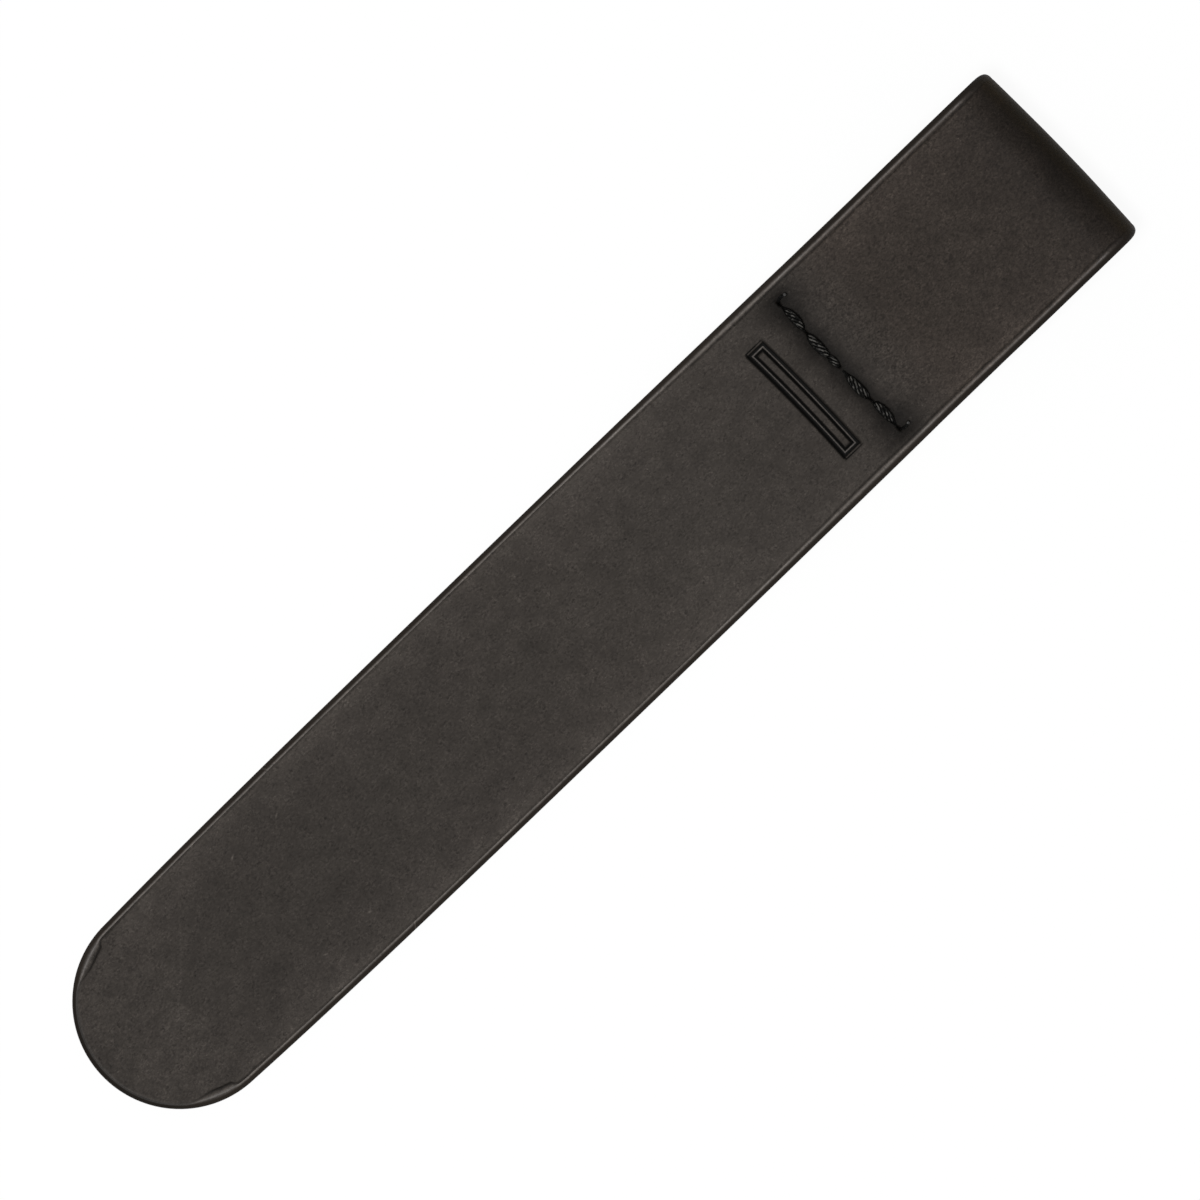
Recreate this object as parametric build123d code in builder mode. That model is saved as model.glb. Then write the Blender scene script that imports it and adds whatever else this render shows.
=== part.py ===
from build123d import *

import os
from math import asin, atan2, cos, degrees, hypot, sin

os.makedirs("parts", exist_ok=True)

# Leather bookmark: one strap folded under at its head, sewn across into a loop.
# Millimetres. The strap lies along Y with its grain side up and the table at Z = 0.
# The origin is on the table, halfway between the tip of the tail and the fold.

# Strap
strap_length = 150.0  # tip of the tail to the fold, as it lies
strap_width = 25.2
tip_radius = 12.1  # round end of the tail
leather = 1.5  # thickness
edge_round = 0.5  # painted long edges

# Loop and sewn end
loop_length = 34.9  # stitch row to the fold
fold_radius = 4.6  # outside of the bend
fold_corner = 1.1  # corners of the fold, seen from above
bend_offset = 1.9  # stitch row to the line where the loop starts to rise
flap_length = 10.0  # sewn end, past the stitch row
flap_corner = 2.0

# Flexing zone between tail and head
neck_length = 24.0
neck_gap = 2.0  # end of the flap to the neck

# Pressed border below the stitches
border_offset = 5.5  # stitch row to the middle of the border
border_length = 16.3
border_height = 2.65
border_line = 0.75  # width of the pressed line
border_depth = 0.25

# Stitches
stitch_count = 4
row_margin = 2.9  # edge of the strap to the middle of the row's end slots
thread_gauge = 0.8
thread_turn = 0.05  # inside radius of the thread's turns
slot_room = 0.1  # between the thread and the wall of its slot
seat_room = 0.03  # between the thread and what it lies on
top_seat = 0.25  # depth of the row pressed into the grain side
cut_length = 0.95  # cut thread left at each end of the row
melted_radius = 0.5  # bead at a cut thread's end

# Places along the strap
y_fold = strap_length / 2
y_tip = -y_fold
y_stitch = y_fold - loop_length
y_bend = y_stitch + bend_offset
y_flap = y_stitch - flap_length
y_neck_head = y_flap - neck_gap
y_neck_tail = y_neck_head - neck_length
y_fold_centre = y_fold - fold_radius
half_width = strap_width / 2
two_layers = 2 * leather

# The loop's upper layer rises in a straight line that ends tangent to the fold.
centre_run = y_fold_centre - y_bend
centre_rise = fold_radius - two_layers
loop_slope = atan2(centre_rise, centre_run) + asin(fold_radius / hypot(centre_run, centre_rise))
loop_up = Vector(-sin(loop_slope), cos(loop_slope))
fold_centre = Vector(y_fold_centre, fold_radius)
fold_top = fold_centre + loop_up * fold_radius
fold_top_inside = fold_centre + loop_up * (fold_radius - leather)
bend_line = Vector(y_bend, two_layers)
bend_line_inside = bend_line - loop_up * leather

# Stitch row
row_half = half_width - row_margin
stitch_pitch = 2 * row_half / stitch_count
hole_places = [stitch_pitch * i - row_half for i in range(stitch_count + 1)]
thread_radius = thread_gauge / 2
thread_bend = thread_radius + thread_turn
leg_offset = thread_bend + thread_turn  # middle of a slot to the thread going down in it
slot_width = thread_gauge + slot_room
slot_length = 2 * (leg_offset + thread_radius + slot_room)
top_row = 2 * row_half + slot_length
bottom_run = thread_radius + seat_room
bottom_seat = thread_gauge + 2 * seat_room  # groove that lets the sewn end lie flat
top_run = two_layers - top_seat + seat_room + thread_radius
crest_height = 0.5 * thread_gauge  # rise of the bottom thread inside a slot
crest_half = leg_offset / 2  # level top of that rise
crest_foot = leg_offset + crest_half
top_dip = bottom_run + crest_height + thread_gauge + seat_room
bottom_end = row_half + crest_foot + thread_radius

side_plane = Plane.YZ.offset(-half_width)


def burnish(long_edges):
    """Round the long edges of a leather zone, as their paint leaves them."""
    fillet(long_edges, radius=min(edge_round, 0.45 * leather))


def stitch_slots(face_plane, depth):
    """Cut the row of stitch slots downwards from a plane."""
    with BuildSketch(face_plane) as slots:
        with Locations(*[(x, y_stitch) for x in hole_places]):
            SlotOverall(slot_length, slot_width)
    extrude(slots.sketch, amount=-depth, mode=Mode.SUBTRACT)


# Tail: half-round tip, then sides that swell a little up to the full width.
side_run = y_neck_tail - (y_tip + tip_radius)
side_radius = (half_width**2 - tip_radius**2 + side_run**2) / (2 * (half_width - tip_radius))
tip_share = tip_radius / (side_radius - tip_radius)
tip_end = (tip_share * (side_radius - half_width), y_tip + tip_radius - tip_share * side_run)

with BuildPart() as tail:
    with BuildSketch():
        with BuildLine():
            TangentArc((0, y_tip), tip_end, tangent=(1, 0))
            TangentArc((half_width, y_neck_tail), tip_end, tangent=(0, -1))
            mirror(about=Plane.YZ)
            Line((-half_width, y_neck_tail), (half_width, y_neck_tail))
        make_face()
    extrude(amount=leather)
    tail_rims = tail.edges().group_by(Axis.Z)[0] + tail.edges().group_by(Axis.Z)[-1]
    burnish(tail_rims.group_by(Axis.Y)[0] + tail_rims.group_by(Axis.Y)[1])
tail.part.label = "tail"

# Neck: climbs by one thickness, from the table to the top of the sewn end.
neck_middle = (y_neck_tail + y_neck_head) / 2


def neck_face(z):
    """One face of the neck, seen from the side: two equal arcs that rise from a height."""
    halfway = (neck_middle, z + leather / 2)
    TangentArc((y_neck_tail, z), halfway, tangent=(1, 0))
    TangentArc((y_neck_head, z + leather), halfway, tangent=(-1, 0))


with BuildPart() as neck:
    with BuildSketch(side_plane):
        with BuildLine():
            neck_face(0)
            neck_face(leather)
            Line((y_neck_tail, 0), (y_neck_tail, leather))
            Line((y_neck_head, leather), (y_neck_head, two_layers))
        make_face()
    extrude(amount=strap_width)
    burnish(neck.edges().filter_by(GeomType.CIRCLE))
neck.part.label = "neck"

# Front panel: upper layer of the sewn zone, with the border, stitch row and slots.
panel_length = y_bend - y_neck_head
panel_middle = (y_bend + y_neck_head) / 2
grain_face = Plane.XY.offset(two_layers)

with BuildPart() as front_panel:
    with BuildSketch(Plane.XY.offset(leather)):
        with Locations((0, panel_middle)):
            Rectangle(strap_width, panel_length)
    extrude(amount=leather)
    burnish(front_panel.edges().filter_by(Axis.Y))
    with BuildSketch(grain_face):
        with Locations((0, y_stitch - border_offset)):
            Rectangle(border_length, border_height)
            Rectangle(border_length - 2 * border_line, border_height - 2 * border_line, mode=Mode.SUBTRACT)
    extrude(amount=-border_depth, mode=Mode.SUBTRACT)
    with BuildSketch(grain_face):
        with Locations((0, y_stitch)):
            SlotOverall(top_row, slot_width)
    extrude(amount=-top_seat, mode=Mode.SUBTRACT)
    stitch_slots(grain_face, leather)
front_panel.part.label = "front_panel"

# Loop front: upper layer of the loop, sloping from the bend line up to the fold.
with BuildPart() as loop_front:
    with BuildSketch(side_plane):
        with BuildLine():
            Polyline(bend_line, fold_top, fold_top_inside, bend_line_inside, close=True)
        make_face()
    extrude(amount=strap_width)
    burnish(loop_front.edges().filter_by(Axis((0, 0, 0), (0, cos(loop_slope), sin(loop_slope)))))
loop_front.part.label = "loop_front"

# Loop fold: the bend, from the table round to the loop's upper layer.
fold_turn = 180 + degrees(loop_slope)

with BuildPart() as loop_fold:
    with BuildSketch(side_plane):
        with BuildLine():
            CenterArc(fold_centre, fold_radius, -90, fold_turn)
            CenterArc(fold_centre, fold_radius - leather, -90, fold_turn)
            Line((y_fold_centre, 0), (y_fold_centre, leather))
            Line(fold_top, fold_top_inside)
        make_face()
    extrude(amount=strap_width)
    burnish(loop_fold.edges().filter_by(GeomType.CIRCLE))
    with BuildSketch():
        with Locations((0, y_fold_centre)):
            corner_sheet = Rectangle(strap_width, 2 * fold_radius)
        fillet(corner_sheet.vertices().group_by(Axis.Y)[-1], radius=fold_corner)
    extrude(amount=2 * fold_radius, mode=Mode.INTERSECT)
loop_fold.part.label = "loop_fold"

# Back flap: lower layer of the loop and the sewn end, with the bottom thread's groove.
flap_run = y_fold_centre - y_flap
flap_middle = (y_fold_centre + y_flap) / 2

with BuildPart() as back_flap:
    with BuildSketch():
        with Locations((0, flap_middle)):
            flap_sheet = Rectangle(strap_width, flap_run)
        fillet(flap_sheet.vertices().group_by(Axis.Y)[0], radius=flap_corner)
    extrude(amount=leather)
    burnish(back_flap.edges().filter_by(Axis.Y))
    with BuildSketch():
        with Locations((0, y_stitch)):
            SlotCenterToCenter(2 * bottom_end, slot_width)
    extrude(amount=bottom_seat, mode=Mode.SUBTRACT)
    stitch_slots(Plane.XY.offset(leather), leather)
back_flap.part.label = "back_flap"

# Threads: each runs along the row and turns into every slot, where the two meet.
def thread_along(points):
    """Sweep a round thread along a row of points, with every turn rounded."""
    with BuildLine() as route:
        FilletPolyline(*points, radius=thread_bend)
    path = route.wire()
    with BuildSketch(Plane(path @ 0, z_dir=path % 0)) as section:
        Circle(thread_radius)
    sweep(section.sketch, path=path)
    print(f"thread length {path.length:.2f}, times its section {path.length * section.sketch.area:.3f}")


def at_row(x, z):
    """A point in the upright plane of the stitch row."""
    return Vector(x, y_stitch, z)


# Top thread: long stitches on the grain side, with a cut and melted end at each side.
end_leg = row_half + leg_offset
cut_run = two_layers + seat_room + thread_radius
cut_ends = [Vector(side * end_leg, y_stitch + cut_length, cut_run) for side in (-1, 1)]

top_route = [cut_ends[0], at_row(-end_leg, cut_run)]
for place in hole_places:
    top_route += [at_row(place - leg_offset, top_run)] if place > hole_places[0] else []
    top_route += [at_row(place - leg_offset, top_dip), at_row(place + leg_offset, top_dip)]
    top_route += [at_row(place + leg_offset, top_run)] if place < hole_places[-1] else []
top_route += [at_row(end_leg, cut_run), cut_ends[1]]

bead_swell = melted_radius - thread_radius

with BuildPart() as top_thread:
    thread_along(top_route)
    for cut_end in cut_ends:
        with Locations(cut_end + Vector(0, bead_swell, bead_swell)):
            Sphere(melted_radius)
top_thread.part.label = "top_thread"

# Bottom thread: lies in the groove of the sewn end and rises a little in every slot.
crest = bottom_run + crest_height
bottom_route = [at_row(-bottom_end, bottom_run)]
for place in hole_places:
    bottom_route += [at_row(place - crest_foot, bottom_run), at_row(place - crest_half, crest)]
    bottom_route += [at_row(place + crest_half, crest), at_row(place + crest_foot, bottom_run)]
bottom_route += [at_row(bottom_end, bottom_run)]

with BuildPart() as bottom_thread:
    thread_along(bottom_route)
bottom_thread.part.label = "bottom_thread"

for piece in (tail, neck, front_panel, loop_front, loop_fold, back_flap, top_thread, bottom_thread):
    export_step(piece.part, f"parts/{piece.part.label}.step")
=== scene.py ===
"""Looks of a folded and sewn leather bookmark, laid out as an add-on and run as a script."""

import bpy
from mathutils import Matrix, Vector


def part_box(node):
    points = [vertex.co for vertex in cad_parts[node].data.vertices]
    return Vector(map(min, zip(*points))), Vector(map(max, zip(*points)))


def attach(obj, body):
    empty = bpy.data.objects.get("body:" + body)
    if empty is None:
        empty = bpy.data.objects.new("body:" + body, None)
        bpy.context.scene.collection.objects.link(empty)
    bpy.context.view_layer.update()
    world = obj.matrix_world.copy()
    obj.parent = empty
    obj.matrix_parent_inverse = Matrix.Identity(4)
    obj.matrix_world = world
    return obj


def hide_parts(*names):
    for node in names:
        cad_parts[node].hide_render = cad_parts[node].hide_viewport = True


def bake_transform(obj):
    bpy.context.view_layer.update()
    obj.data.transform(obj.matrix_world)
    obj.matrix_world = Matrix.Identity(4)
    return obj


bl_info = {
    "name": "Leather Bookmark",
    "version": (1, 0, 0),
    "blender": (4, 5, 0),
    "location": "View3D > Sidebar > Bookmark",
    "description": "Dresses the frame of a leather bookmark with grained leather and waxed thread",
    "category": "Add Mesh",
}

from math import asin, atan2, cos, hypot, pi, radians, sin, tan

import bpy
import numpy as np
from bpy.props import FloatProperty, FloatVectorProperty, PointerProperty
from bpy.types import Operator, Panel, PropertyGroup

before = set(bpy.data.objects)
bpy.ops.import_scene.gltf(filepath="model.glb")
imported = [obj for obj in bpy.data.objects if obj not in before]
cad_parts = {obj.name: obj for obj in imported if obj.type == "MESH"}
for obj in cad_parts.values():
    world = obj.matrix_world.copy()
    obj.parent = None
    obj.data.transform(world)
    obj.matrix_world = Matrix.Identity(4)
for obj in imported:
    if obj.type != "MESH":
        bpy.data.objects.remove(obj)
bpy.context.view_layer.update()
MM = 0.001
BOTH_SIDES = (1.0, -1.0)

# Sizes of the strap that the frame gives
TAIL_LOW, TAIL_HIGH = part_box("tail")
NECK_LOW, NECK_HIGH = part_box("neck")
PANEL_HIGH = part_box("front_panel")[1]
FOLD_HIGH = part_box("loop_fold")[1]
FLAP_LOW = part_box("back_flap")[0]
ROW_LOW, ROW_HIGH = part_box("bottom_thread")

LEATHER = TAIL_HIGH.z
HALF_WIDTH = NECK_HIGH.x
TIP_RADIUS = 12.1 * MM
TIP_CENTRE_Y = TAIL_LOW.y + TIP_RADIUS
STITCH_Y = (ROW_LOW.y + ROW_HIGH.y) / 2
FOLD_RADIUS = FOLD_HIGH.z / 2
FOLD_CENTRE_Y = FOLD_HIGH.y - FOLD_RADIUS
FOLD_CORNER = 0.20 * MM
FLAP_CORNER = 2.0 * MM

# Slope of the loop's upper layer, which ends tangent to the fold
CENTRE_RUN = FOLD_CENTRE_Y - PANEL_HIGH.y
CENTRE_RISE = FOLD_RADIUS - PANEL_HIGH.z
CENTRE_FAR = hypot(CENTRE_RUN, CENTRE_RISE)
LOOP_SLOPE = atan2(CENTRE_RISE, CENTRE_RUN) + asin(FOLD_RADIUS / CENTRE_FAR)


def length(name, description, default):
    """A size that a user can change: its default is in millimetres, its value in metres."""
    return FloatProperty(
        name=name, description=description, default=default * MM, precision=5, unit="LENGTH"
    )


def colour(name, description, default):
    """A colour that a user can change."""
    return FloatVectorProperty(
        name=name, description=description, default=default, size=3, min=0.0, max=1.0, subtype="COLOR"
    )


class BookmarkLeather(PropertyGroup):
    """Shape and colours of the strap"""

    crease_tail: length("Tail crease", "Edge of the tail to its creased line", 0.83)
    crease_loop: length("Loop crease", "Edge of the loop to its creased line", 1.15)
    crease_depth: length("Crease depth", "Depth of the creased line", 0.10)
    crease_width: length("Crease width", "Width of the creased line's inner wall", 0.22)
    bead_drop: length("Bead drop", "Height of the rounded edge outside the bead's crest", 0.60)
    swell: length("Swell", "How much each side of the tail stands out past the frame's width", 0.10)
    taper: length("Taper", "How quickly the tail gains its width from the tip", 17.0)
    waist: length("Waist", "How much each side of the loop is drawn in", 0.085)
    loop_narrow: length("Loop narrowing", "How much each side draws in from the stitches to the fold", 0.05)
    fold_bow: length("Fold bow", "How far the middle of the fold stands out", 0.25)
    valley_depth: length("Valley depth", "How far the stitches pull the leather down", 0.34)
    valley_tail: length("Valley on the tail side", "Reach of the pulled leather towards the tail", 2.04)
    valley_loop: length("Valley on the loop side", "Reach of the pulled leather towards the loop", 1.6)
    ripple: length("Ripple", "Height of the leather's slow unevenness", 0.025)
    pebble: length("Pebble", "Size of the leather's grain", 0.42)
    grain_colour: colour("Grain", "Colour of the smooth side", (0.0406, 0.0349, 0.0305))
    edge_colour: colour("Edge paint", "Colour of the painted edges", (0.0225, 0.0180, 0.0145))
    flesh_colour: colour("Flesh side", "Colour of the rough side", (0.0620, 0.0460, 0.0350))


class BookmarkBorder(PropertyGroup):
    """The pressed border below the stitches"""

    offset: length("Offset", "Stitch row to the middle of the border", 5.55)
    length: length("Length", "Length across the strap", 16.58)
    height: length("Height", "Height along the strap", 3.10)
    depth: length("Depth", "Depth of the pressed line", 0.30)
    outer_wall: length("Outer wall", "Width of the line's outer wall", 0.68)
    floor: length("Line floor", "Width of the burnished floor of the line", 0.14)
    inner_wall: length("Inner wall", "Width of the line's inner wall", 0.46)
    bow: length("Bow", "How far its middle is bowed towards the stitches", 0.16)


class BookmarkThread(PropertyGroup):
    """The two sewing threads"""

    gauge: length("Gauge", "Thickness of a full stitch", 1.08)
    lay: length("Lay", "Length of one turn of the twist", 5.0)
    under_gauge: length("Bottom gauge", "Thickness of the bottom thread", 0.78)
    wax_colour: colour("Thread", "Colour of the waxed thread", (0.0030, 0.0029, 0.0027))
    # Colour of the painted highlight on the tops of the plies
    rubbed_colour: colour("Rubbed thread", "Colour where the wax is rubbed", (0.100, 0.096, 0.088))
    melt_colour: colour("Melted end", "Colour of the melted thread ends", (0.0200, 0.0185, 0.0170))


class BookmarkStage(PropertyGroup):
    """Camera, light and floor"""

    field: length("Field", "Width of the picture at the strap", 134.9)
    centre_x: length("Centre across", "Middle of the picture across the strap", 0.302)
    centre_y: length("Centre along", "Middle of the picture along the strap", 2.455)
    camera_height: length("Camera height", "Height of the camera over the strap", 2000.0)
    camera_turn: FloatProperty(
        name="Camera turn", description="Turn of the picture", default=radians(46.032), subtype="ANGLE"
    )
    key_power: FloatProperty(name="Key power", description="Power of the lamp", default=52.0, unit="POWER")
    key_size: length("Key size", "Width of the round soft lamp", 900.0)
    key_height: length("Key height", "Height of the lamp", 2600.0)
    key_back: length("Key back", "How far the lamp stands towards the tail", 700.0)
    fill: FloatProperty(name="Fill", description="Strength of the light from all round", default=0.30)
    floor_colour: colour("Floor", "Colour of the floor", (0.08, 0.08, 0.08))
    floor_glow: FloatProperty(name="Floor glow", description="White that the eye sees on it", default=0.93)


def smooth(t):
    """An S-shaped step from 0 to 1."""
    t = np.clip(t, 0.0, 1.0)
    return t * t * (3.0 - 2.0 * t)


def rise(x, start, run):
    """An S-shaped step from 0 at start to 1 one run further on."""
    return smooth((x - start) / run)


def fall(x, end, run):
    """An S-shaped step from 1 down to 0 at end, over one run."""
    return smooth((end - x) / run)


def hump(x, middle, reach):
    """A bell of height 1 that falls to about a third one reach from its middle."""
    return np.exp(-(((x - middle) / reach) ** 2))


def placed(name, data):
    """Puts a mesh, a lamp or a camera into the scene as an object."""
    made = bpy.data.objects.new(name, data)
    bpy.context.scene.collection.objects.link(made)
    return made


def add_layer(mesh, name, values):
    """Stores a value or a vector for each point of a mesh."""
    kind, field = ("FLOAT_VECTOR", "vector") if values.ndim == 2 else ("FLOAT", "value")
    layer = mesh.attributes.new(name, kind, "POINT")
    layer.data.foreach_set(field, values.astype(np.float32).ravel())


# Path of the grain side


class GrainLine:
    """The grain side of the strap seen from the side: straight runs and arcs, end to end."""

    def __init__(self, y, z):
        self.starts, self.runs = [], []
        self.end, self.y, self.z, self.heading = 0.0, y, z, 0.0

    def run(self, distance, turn=0.0):
        """Adds a run that turns evenly, and returns the distance at which it ends."""
        self.starts.append(self.end)
        self.runs.append((self.y, self.z, self.heading, turn / distance))
        self.end += distance
        y, z, heading = self.at(np.array([self.end]))
        self.y, self.z, self.heading = y[0], z[0], heading[0]
        return self.end

    def at(self, distance):
        """Y, Z and heading at distances along the line."""
        index = np.clip(np.searchsorted(self.starts, distance, side="right") - 1, 0, None)
        y, z, heading, bend = np.array(self.runs)[index].T
        gone = distance - np.array(self.starts)[index]
        chord = gone * np.sinc(bend * gone / (2.0 * pi))
        aim = heading + bend * gone / 2.0
        return y + chord * np.cos(aim), z + chord * np.sin(aim), heading + bend * gone


LINE = GrainLine(TIP_CENTRE_Y, LEATHER)
NECK_AT = LINE.run(NECK_LOW.y - TIP_CENTRE_Y)
NECK_HALF = (NECK_HIGH.y - NECK_LOW.y) / 2
NECK_TURN = 2 * atan2(LEATHER / 2, NECK_HALF)
NECK_RUN = NECK_TURN * hypot(NECK_HALF, LEATHER / 2) / (2 * sin(NECK_TURN / 2))
LINE.run(NECK_RUN, NECK_TURN)
PANEL_AT = LINE.run(NECK_RUN, -NECK_TURN)
BEND_EASE = PANEL_HIGH.y - STITCH_Y
BEND_AT = LINE.run(PANEL_HIGH.y - BEND_EASE - NECK_HIGH.y)
BEND_RUN = LOOP_SLOPE * BEND_EASE / tan(LOOP_SLOPE / 2)
LOOP_AT = LINE.run(BEND_RUN, LOOP_SLOPE)
FOLD_AT = LINE.run((CENTRE_FAR**2 - FOLD_RADIUS**2) ** 0.5 - BEND_EASE)
FLAP_AT = LINE.run(FOLD_RADIUS * (pi + LOOP_SLOPE), -pi - LOOP_SLOPE)
END_AT = LINE.run(FOLD_CENTRE_Y - FLAP_LOW.y)

ROW_AT = PANEL_AT + STITCH_Y - NECK_HIGH.y
SEAM_AT = BEND_AT + BEND_RUN / 2
FLAP_ROW_AT = FLAP_AT + FOLD_CENTRE_Y - STITCH_Y
FOLD_TOP_AT = FOLD_AT + FOLD_RADIUS * LOOP_SLOPE
FOLD_APEX_AT = FOLD_TOP_AT + FOLD_RADIUS * pi / 2
SWELL_END = 6 * MM  # past the start of the neck
WAIST_AT = LOOP_AT + 5 * MM
LAST_AT = END_AT - 0.02 * MM  # last section of the flap, where its corners have closed

# Stitch row: holes from the left end of the row to its middle, which the right half mirrors
HOLES = (-9.70 * MM, -5.25 * MM, 0.0)
ROW_REACH = 10.8 * MM
NICK_AT = -37.9 * MM - TIP_CENTRE_Y

# Small rubbed marks on both sides of the tail: distances from the middle line and along the strap
SCUFFS = (
    (11.70 * MM, -49.7 * MM - TIP_CENTRE_Y),
    (7.56 * MM, -47.4 * MM - TIP_CENTRE_Y),
    (7.56 * MM, -40.5 * MM - TIP_CENTRE_Y),
)

# Crest of the bead outside the creased line, as a share of the line's offset from the edge
TAIL_CREST = 0.86
LOOP_CREST = 0.69
TIP_STEP = radians(79.3)  # from the tip's end, where the creased line steps to the side's offset

# Depths of what the sewing leaves in the leather, and half the width of the groove under the flap
HOLE_DEPTH = 0.55 * MM
GROOVE_DEPTH = 0.80 * MM
GROOVE_HALF = 0.72 * MM

# Pressed border: rounding of its corners, and a scale that makes its walls wider at its ends
BORDER_CORNER = 0.5 * MM
BORDER_ENDS = 0.935

# How much red, green and blue the leather loses on the loop, and more at the rim of the fold, as the colour
# of the painted shade there
LOOP_SHADE_TINT = np.array([0.0, 0.066, 0.104])
RIM_SHADE_TINT = np.array([0.0, 0.13, 0.44])


def half_width(q):
    """Half the strap's width at distances along it."""
    leather = bpy.context.scene.bookmark_leather
    full = HALF_WIDTH + leather.swell
    width = full - (full - TIP_RADIUS) * np.exp(-q / leather.taper)
    width = width - leather.swell * rise(q - NECK_AT, SWELL_END, 30 * MM)
    width = width - leather.waist * hump(q, WAIST_AT, 7.5 * MM)
    width = width - leather.loop_narrow * rise(q, ROW_AT, FOLD_AT - ROW_AT)
    width = width - FOLD_CORNER * hump(q, FOLD_APEX_AT, 2.0 * MM)
    flap_reach = np.clip((q - END_AT + FLAP_CORNER) / FLAP_CORNER, 0.0, 1.0)
    return width - FLAP_CORNER * (1.0 - np.sqrt(1.0 - flap_reach**2))


def tip_crease(angle):
    """The creased line round the tip, by angle from the end: its offset, strength and bead's crest."""
    leather = bpy.context.scene.bookmark_leather
    off = np.abs(angle)
    wide = 0.66 - 0.08 * rise(off, 0.0, radians(35.0)) + 0.84 * rise(off, radians(50.0), radians(17.0))
    wide = wide - 0.12 * rise(off, radians(70.0), radians(9.3))
    offset = np.where(off > TIP_STEP, leather.crease_tail, wide * MM)
    # At the tip's end this strength also gives the bead a thin painted highlight
    strength = 0.22 + 0.23 * rise(off, radians(18.0), radians(24.0))
    strength = strength + 0.90 * rise(off, radians(50.0), radians(22.0))
    crest = TAIL_CREST * leather.crease_tail + 0.22 * np.clip(offset - leather.crease_tail, 0.0, None)
    return offset, strength, np.minimum(crest, 0.93 * offset)


def side_crease(q):
    """The creased line along the sides: its offset from the edge, its strength and its bead's crest."""
    leather = bpy.context.scene.bookmark_leather
    widen = rise(q, NECK_AT, ROW_AT - NECK_AT)
    offset = leather.crease_tail + (leather.crease_loop - leather.crease_tail) * widen
    wander = 0.020 * np.sin(q / (2.9 * MM)) + 0.014 * np.sin(q / (1.13 * MM) + 1.0)
    strength = 1.0 + 0.35 * np.exp(-q / (3 * MM)) - 0.85 * rise(q, FOLD_AT - 0.6 * MM, 5 * MM)
    strength = strength * (1.0 + 0.12 * np.sin(q / (1.7 * MM) + 0.6) * np.sin(q / (7.3 * MM)))
    strength = strength * (1.0 - 0.55 * hump(q, NICK_AT, 0.16 * MM))
    crest = (TAIL_CREST + (LOOP_CREST - TAIL_CREST) * widen) * offset
    return offset + wander * MM, strength, crest


# Relief of the grain side


def ripple(x, q):
    """Slow unevenness of the leather, from crossing waves."""
    waves = ((19.0, 0.3, 0.0), (11.0, 1.2, 2.1), (7.1, 2.3, 4.0), (5.2, 0.8, 1.3), (3.7, 1.9, 5.2))
    longest = waves[0][0]
    height = np.zeros(np.broadcast(x, q).shape)
    for wavelength, heading, phase in waves:
        along = (x * cos(heading) + q * sin(heading)) * 2.0 * pi / (wavelength * MM)
        height = height + np.sin(along + phase) * wavelength / longest
    return height / 2.0


def rounded_inside(across, along, corner):
    """Distance inside a box whose corners are rounded, from the distances to its nearest sides."""
    round_off = corner - np.hypot(np.clip(corner - across, 0.0, None), np.clip(corner - along, 0.0, None))
    return np.where(np.minimum(across, along) < corner, round_off, np.minimum(across, along))


def border_press(x, q):
    """The pressed border: its depth, its burnished floor line, which also gives a painted highlight, and the
    painted shade of its walls, each from 0 to 1.
    """
    border = bpy.context.scene.bookmark_border
    across = border.length / 2 - np.abs(x)
    along = border.height / 2 - np.abs(q - ROW_AT + border.offset)
    inside = rounded_inside(BORDER_ENDS * across, along, BORDER_CORNER)
    floor_end = border.outer_wall + border.floor
    drop = rise(inside, 0.0, 0.8 * border.outer_wall)
    climb = rise(inside, floor_end, border.inner_wall)
    ledge = hump(across, 0.31 * MM, 0.08 * MM) * rise(along, 0.35 * MM, 0.2 * MM)
    line = hump(inside, border.outer_wall + border.floor / 2, 0.40 * border.floor)
    line = line * (1.0 + 0.45 * fall(across, 1.1 * MM, 0.2 * MM))
    depth = drop - 0.90 * climb - 0.22 * ledge
    row_side = rise(q, ROW_AT - border.offset, 0.5 * MM)
    # Painted shade on the walls of the line and on a thin line at its ends; the floor line and the ledge get
    # a painted highlight
    outer_wall_shade = rise(inside, 0.0, (0.26 + 0.16 * row_side) * MM)
    outer_wall_shade = outer_wall_shade * (1.0 - rise(inside, border.outer_wall, 0.06 * MM))
    inner_wall_shade = rise(inside, floor_end - 0.04 * MM, 0.06 * MM) * (1.0 - climb**9)
    end_line_shade = 0.6 * hump(across, 0.13 * MM, 0.08 * MM) * rise(along, 0.0, 0.25 * MM)
    walls = np.clip(outer_wall_shade * (1.0 - ledge) + end_line_shade + inner_wall_shade - line, 0.0, 1.0)
    return depth, line + 0.5 * ledge, walls


def row_pull(x, q):
    """How strongly the stitch row pulls on the leather, from 0 to 1, and the same near its holes."""
    leather = bpy.context.scene.bookmark_leather
    off = q - ROW_AT
    widen = rise(np.abs(x), 6 * MM, 3 * MM)
    reach = np.where(
        off < 0.0, leather.valley_tail * (1.0 + 0.27 * widen), leather.valley_loop * (1.0 + 0.8 * widen)
    )
    reach = reach * (1.0 + 0.14 * np.sin(x / (1.27 * MM) + 1.0) * np.sin(x / (3.9 * MM)))
    spread = fall(np.abs(x), ROW_REACH + 0.8 * MM, 1.6 * MM)
    pull = spread * np.exp(-((off / reach) ** 2))
    holes = np.zeros(pull.shape)
    for hole, share in zip(HOLES, (1.0, 0.5, 0.5)):
        holes = holes + share * hump(np.abs(x), abs(hole), 0.30 * MM) * hump(off, -0.08 * MM, 0.16 * MM)
    return pull, np.clip(holes, 0.0, 1.0)


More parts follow.
